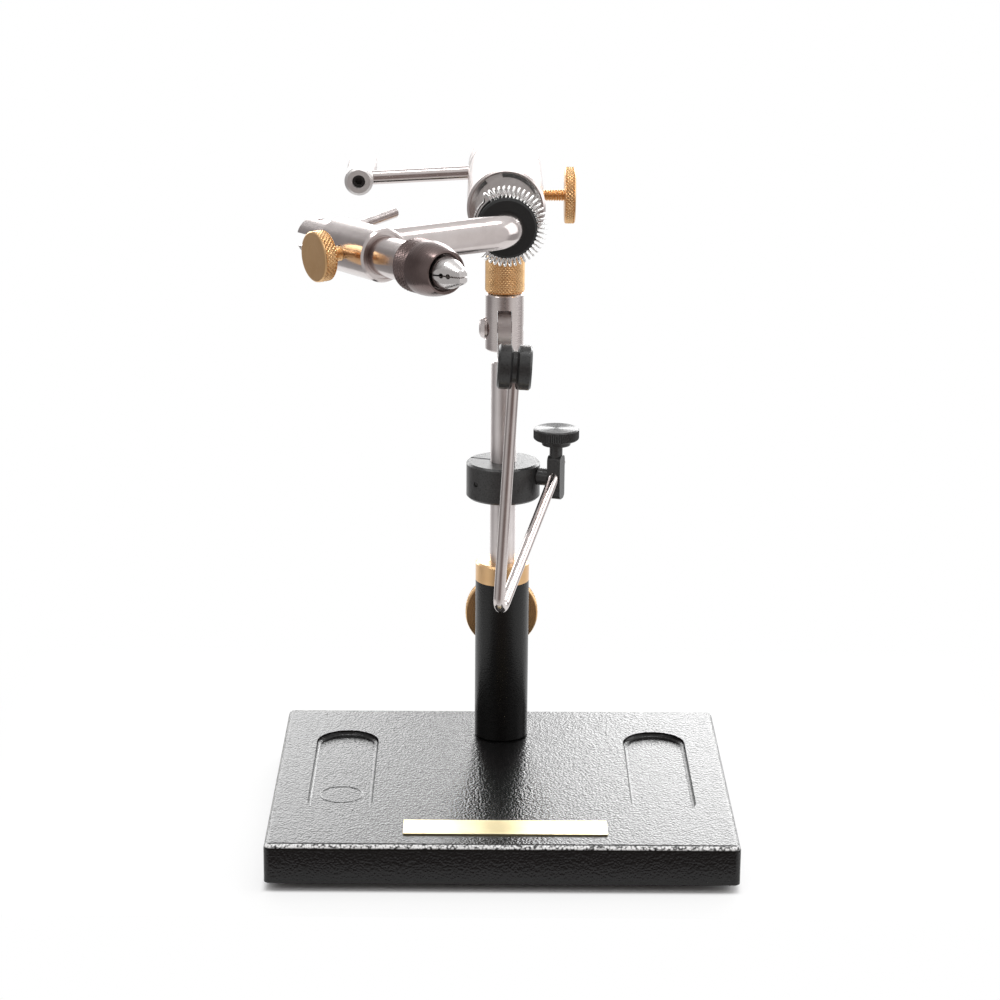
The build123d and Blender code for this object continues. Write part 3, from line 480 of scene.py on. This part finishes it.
# Mesh helpers. An outline is a list of (radius, height) points.
def rounded(outline, radius, steps=4):
    """Rounds each inner corner of an outline."""
    result = [Vector(outline[0])]
    for before, corner, after in zip(outline, outline[1:], outline[2:]):
        corner = Vector(corner)
        back = Vector(before) - corner
        ahead = Vector(after) - corner
        cut = min(radius, back.length * 0.45, ahead.length * 0.45)
        start = corner + back.normalized() * cut
        end = corner + ahead.normalized() * cut
        for step in range(steps + 1):
            share = step / steps
            result.append(start.lerp(corner, share).lerp(corner.lerp(end, share), share))
    result.append(Vector(outline[-1]))
    return result


def divided(outline, step):
    """Adds points along an outline so that none of its runs is longer than a step."""
    result = [outline[0]]
    for start, end in zip(outline, outline[1:]):
        parts = max(1, ceil((end - start).length / step))
        result += [start.lerp(end, part / parts) for part in range(1, parts + 1)]
    return result


def zigzag(value):
    """Gives a wave of straight sides: one at each whole number and nought half way between."""
    return abs(value % 1.0 - 0.5) * 2


def knurl_segments(radius, pitch):
    """Gives the segments that divide each diamond of a knurl into facets."""
    return round(2 * pi * radius / pitch) * knurl_facets


def diamond_knurl(low, high, radius, pitch, depth):
    """Gives the relief of a diamond knurl between two heights of a round face."""
    count = round(2 * pi * radius / pitch)

    def relief(angle, point):
        if not low <= point.y <= high or point.x < radius - 0.6 * depth:
            return 0.0
        turns = angle * count / (2 * pi)
        climb = (point.y - low) / pitch
        return -depth * max(zigzag(turns + climb), zigzag(turns - climb))

    return relief


def thread(low, high, pitch, depth):
    """Gives the relief of a screw thread between two heights."""

    def relief(angle, point):
        if not low <= point.y <= high:
            return 0.0
        return -depth * zigzag((point.y - low) / pitch - angle / (2 * pi))

    return relief


def turned(name, outline, place, body, finish, node, segments, relief, crease):
    """Turns an outline about a frame's z axis, with a relief on its surface, in place of a node."""
    vertices = []
    faces = []
    for point in outline:
        for step in range(segments):
            angle = 2 * pi * step / segments
            radius = point.x + relief(angle, point)
            vertices.append(place @ Vector((radius * cos(angle), radius * sin(angle), point.y)))
    for row in range(len(outline) - 1):
        low, high = row * segments, (row + 1) * segments
        for step in range(segments):
            beside = (step + 1) % segments
            faces.append((low + step, low + beside, high + beside, high + step))
    mesh = bpy.data.meshes.new(name)
    mesh.from_pydata(vertices, [], faces)
    welded(mesh)
    mesh.materials.append(finish)
    mesh.update()
    mesh.shade_smooth()
    mesh.set_sharp_from_angle(angle=radians(crease))
    placed(name, mesh, body, node)


def welded(mesh):
    """Joins the vertices that share a place, so that a mesh closes at its poles and its seam."""
    work = bmesh.new()
    work.from_mesh(mesh)
    bmesh.ops.remove_doubles(work, verts=work.verts, dist=weld_reach)
    work.to_mesh(mesh)
    work.free()


def placed(name, data, body, node):
    """Makes a piece that rides on a body and stands for a node of the frame."""
    piece = bpy.data.objects.new(name, data)
    bpy.context.scene.collection.objects.link(piece)
    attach(piece, body)
    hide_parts(node)


# Pieces with a finer form than their solids
def thumb_screw(name, place, body, finish, node, shank, head_length):
    """A brass thumb screw: a threaded shank and a round head with a knurled rim and a turned face."""
    low, high, radius = reach(node, place)
    head = high - head_length
    outline = [
        (0.0, low),
        (shank - screw_chamfer, low),
        (shank, low + screw_chamfer),
        (shank, head),
        (radius - head_back_chamfer, head),
        (radius, head + head_back_chamfer),
        (radius, high - screw_chamfer),
        (radius - screw_chamfer, high),
        (0.0, high),
    ]
    rim_low = head + rim_back_margin
    rim = diamond_knurl(rim_low, high - rim_front_margin, radius, knurl_pitch, knurl_depth)
    screw = thread(low + screw_chamfer, head - thread_margin, thread_pitch, thread_depth)

    def relief(angle, point):
        return rim(angle, point) if point.y > rim_low else screw(angle, point)

    smooth = divided(rounded(outline, head_round), turning_step)
    segments = knurl_segments(radius, knurl_pitch)
    turned(name, smooth, place, body, finish, node, segments, relief, knurl_crease)


def knurled_nut():
    """The neck nut, knurled between its chamfers."""
    low, high, radius = reach("neck_nut", upright)
    outline = [
        (nut_bore, high),
        (nut_bore, low),
        (radius - nut_chamfer, low),
        (radius, low + nut_chamfer),
        (radius, high - nut_chamfer),
        (radius - nut_chamfer, high),
        (nut_bore, high),
    ]
    rim_low, rim_high = low + nut_rim_margin, high - nut_rim_margin
    rim = diamond_knurl(rim_low, rim_high, radius, knurl_pitch, knurl_depth)
    segments = knurl_segments(radius, knurl_pitch)
    smooth = divided([Vector(point) for point in outline], turning_step)
    turned("neck_knurl", smooth, upright, "neck_nut", brass_upright, "neck_nut", segments, rim, knurl_crease)


def collet_nose():
    """The jaws' dark nose: a knurled band behind, and a smooth taper to a lip round its mouth."""
    low, high, radius = reach("jaw_nose", jaw)
    band = low + nose_band
    outline = [(nose_bore, low), (radius - nose_chamfer, low), (radius, low + nose_chamfer), (radius, band)]
    taper = high - band
    bend = (taper**2 + (radius - nose_front_radius) ** 2) / (2 * (radius - nose_front_radius))
    for step in range(1, nose_taper_steps + 1):
        height = taper * step / nose_taper_steps
        outline.append((radius - bend + sqrt(bend**2 - height**2), band + height))
    outline += [
        (nose_front_radius - nose_lip, high),
        (nose_front_radius - nose_lip, high - nose_lip_depth),
        (nose_mouth_radius + nose_lip, high - nose_lip_depth),
        (nose_mouth_radius, high - nose_lip - nose_lip_depth),
        (nose_mouth_radius, nose_bore_end),
        (nose_bore, nose_bore_end),
        (nose_bore, low),
    ]
    rim_low, rim_high = low + nose_rim_margin, band - nose_rim_margin
    rim = diamond_knurl(rim_low, rim_high, radius, nose_knurl_pitch, nose_knurl_depth)
    segments = knurl_segments(radius, nose_knurl_pitch)
    smooth = divided([Vector(point) for point in outline], nose_turning_step)
    turned("collet_nose", smooth, jaw, "jaw_nose", nose_steel, "jaw_nose", segments, rim, knurl_crease)


def serrated_knob():
    """The bobbin rest's knob: a flanged black knob with a finely serrated rim and a turned top."""
    low, high, radius = reach("clamp_knob", knob)
    shoulder = low + knob_flange_height
    outline = [
        (0.0, high - knob_roof),
        (knob_bore, high - knob_roof),
        (knob_bore, low),
        (knob_flange_radius, low),
        (knob_flange_radius, shoulder),
        (radius - knob_chamfer, shoulder),
        (radius, shoulder + knob_chamfer),
        (radius, high - knob_chamfer),
        (radius - knob_chamfer, high),
        (0.0, high),
    ]

    def serration(angle, point):
        if point.x < radius - knob_tooth_reach:
            return 0.0
        return -knob_tooth_depth * zigzag(angle * knob_teeth / (2 * pi))

    smooth = divided(rounded(outline, knob_round), knob_turning_step)
    segments = knob_teeth * knob_tooth_facets
    node = "clamp_knob"
    turned("serrated_knob", smooth, knob, node, knob_plastic, node, segments, serration, knob_crease)


def material_spring():
    """The material clip's spring: a coil of wire round the hub that ends in a plain arc."""
    low, high, _ = reach("clip_spring", rotary)
    middle = (low + high) / 2
    coil_end = spring_start + spring_sweep
    coil_steps = spring_turns * spring_turn_steps
    route = []
    for step in range(coil_steps + 1):
        phase = 2 * pi * step / spring_turn_steps
        angle = spring_start + spring_sweep * step / coil_steps
        distance = spring_radius + spring_coil_radius * cos(phase)
        route.append((angle, distance, spring_coil_radius * sin(phase)))
    for step in range(1, spring_bend_steps + 1):
        share = step / spring_bend_steps
        angle = coil_end + (spring_lead_start - coil_end) * (1 - cos(pi / 2 * share))
        distance = spring_radius + spring_coil_radius * (1 - share**2)
        route.append((angle, distance, spring_lead_bow * sin(pi * share)))
    for step in range(1, spring_lead_steps + 1):
        angle = spring_lead_start + (spring_lead_end - spring_lead_start) * step / spring_lead_steps
        route.append((angle, spring_radius, 0.0))
    wire = bpy.data.curves.new("material_spring", "CURVE")
    wire.dimensions = "3D"
    wire.bevel_depth = spring_wire_radius
    wire.bevel_resolution = 3
    wire.use_fill_caps = True
    strand = wire.splines.new("POLY")
    strand.points.add(len(route) - 1)
    for point, (angle, distance, along) in zip(strand.points, route):
        place = rotary @ Vector((distance * cos(angle), distance * sin(angle), middle + along))
        point.co = (*place, 1.0)
    strand.use_smooth = True
    wire.materials.append(wire_steel)
    placed("material_spring", wire, "rotor", "clip_spring")


for row in (
    ("jaw_thumb_screw", jaw_screw, "jaw_clamp", brass_jaw, "jaw_clamp_screw", jaw_shank, jaw_head),
    ("drag_thumb_screw", drag, "drag_screw", brass_drag, "drag_screw", drag_shank, drag_head),
    ("post_thumb_screw", post_screw, "post_clamp", brass_post, "post_clamp_screw", post_shank, post_head),
):
    thumb_screw(*row)
knurled_nut()
collet_nose()
serrated_knob()
material_spring()


# Studio: pale floor, white surroundings and soft lamps
def studio_world():
    """A pale room that is darker in front of the object and at its sides, and white to the camera."""
    world = bpy.data.worlds.new("studio")
    bpy.context.scene.world = world
    world.use_nodes = True
    tree = world.node_tree
    room = tree.nodes["Background"]
    parts = split(tree, tree.nodes.new("ShaderNodeTexCoord").outputs["Generated"])
    front_to_back = [
        (0.0, (0.22, 0.173, 0.16)),
        (0.04, (0.31, 0.258, 0.244)),
        (0.1, (0.74, 0.71, 0.7)),
        (0.2, (0.96, 0.95, 0.94)),
        (0.38, (0.86, 0.85, 0.85)),
        (0.5, (0.5, 0.48, 0.48)),
        (0.74, (0.45, 0.43, 0.43)),
        (0.9, (1, 1, 1)),
    ]
    left_to_right = [(0.0, grey(0.75)), (0.25, grey(0.7)), (0.43, grey(0.9)), (0.6, grey(1.0))]
    tone = ramp(tree, spread(tree, parts["Y"], -1.0, 1.0), front_to_back)
    side = ramp(tree, spread(tree, parts["X"], -1.0, 1.0), left_to_right)
    overhead = ramp(tree, parts["Z"], [(0.4, grey(0)), (0.75, grey(1))])
    lit = blend(tree, overhead, tone, (1, 1, 1, 1))
    tree.links.new(blend(tree, 1.0, lit, side, "MULTIPLY"), room.inputs["Color"])
    room.inputs["Strength"].default_value = 0.85
    white = tree.nodes.new("ShaderNodeBackground")
    white.inputs["Color"].default_value = (1, 1, 1, 1)
    seen = tree.nodes.new("ShaderNodeLightPath").outputs["Is Camera Ray"]
    mix = shader_mix(tree, seen, room.outputs["Background"], white.outputs["Background"])
    tree.links.new(mix, tree.nodes["World Output"].inputs["Surface"])


def studio_floor():
    """A narrow pale floor that looks white away from the base and keeps its shadow close by."""
    mesh = bpy.data.meshes.new("floor")
    corners = [(-0.24, -0.13, 0), (0.3, -0.13, 0), (0.3, 2.5, 0), (-0.24, 2.5, 0)]
    mesh.from_pydata(corners, [], [(0, 1, 2, 3)])
    floor_plane = bpy.data.objects.new("floor", mesh)
    bpy.context.scene.collection.objects.link(floor_plane)
    made, tree, shader = material("floor")
    shader.inputs["Base Color"].default_value = (0.9, 0.9, 0.9, 1)
    shader.inputs["Roughness"].default_value = 0.7
    glow = tree.nodes.new("ShaderNodeEmission")
    glow.inputs["Color"].default_value = (1, 1, 1, 1)
    rays = tree.nodes.new("ShaderNodeLightPath").outputs
    seen = sums(tree, "MAXIMUM", rays["Is Camera Ray"], rays["Is Glossy Ray"])
    distance = spread(tree, beyond_base(tree), -0.0005, 0.12)
    stops = [(0.0, grey(0.0)), (0.015, grey(0.72)), (0.15, grey(0.88)), (1.0, grey(1.0))]
    share = sums(tree, "MULTIPLY", seen, ramp(tree, distance, stops))
    mix = shader_mix(tree, share, shader.outputs["BSDF"], glow.outputs["Emission"])
    tree.links.new(mix, tree.nodes["Material Output"].inputs["Surface"])
    mesh.materials.append(made)


def lamp(name, place, target, size, power):
    light = bpy.data.lights.new(name, "AREA")
    light.shape = "RECTANGLE"
    light.size, light.size_y = size
    light.energy = power
    made = bpy.data.objects.new(name, light)
    made.location = place
    made.rotation_euler = (Vector(target) - Vector(place)).to_track_quat("-Z", "Y").to_euler()
    bpy.context.scene.collection.objects.link(made)


studio_world()
studio_floor()
lamp("back_left", (-0.7, 1.7, 0.68), (0, 0, 0.1), (1.4, 0.72), 14.2)
lamp("back_right", (0.7, 1.7, 0.68), (0, 0, 0.1), (1.4, 0.72), 22.0)
lamp("top_strip", (0.0, 0.0, 1.2), (0, 0, 0.1), (1.2, 0.14), 5.3)
lamp("right_softbox", (1.2, 0.1, 0.6), (0, 0, 0.15), (0.8, 1.0), 4.0)
lamp("front_spark", (-0.6, -0.9, 0.9), (0, 0, 0.2), (0.25, 0.25), 0.8)

view = bpy.data.cameras.new("camera")
view.sensor_width = camera_sensor
view.lens = camera_lens
camera = bpy.data.objects.new("camera", view)
camera.matrix_world = (
    Matrix.Translation(camera_place)
    @ Matrix.Rotation(-camera_yaw, 4, "Z")
    @ Matrix.Rotation(pi / 2 - camera_pitch, 4, "X")
    @ Matrix.Rotation(camera_roll, 4, "Z")
)
bpy.context.scene.collection.objects.link(camera)
bpy.context.scene.camera = camera
bpy.context.scene.view_settings.view_transform = "Standard"
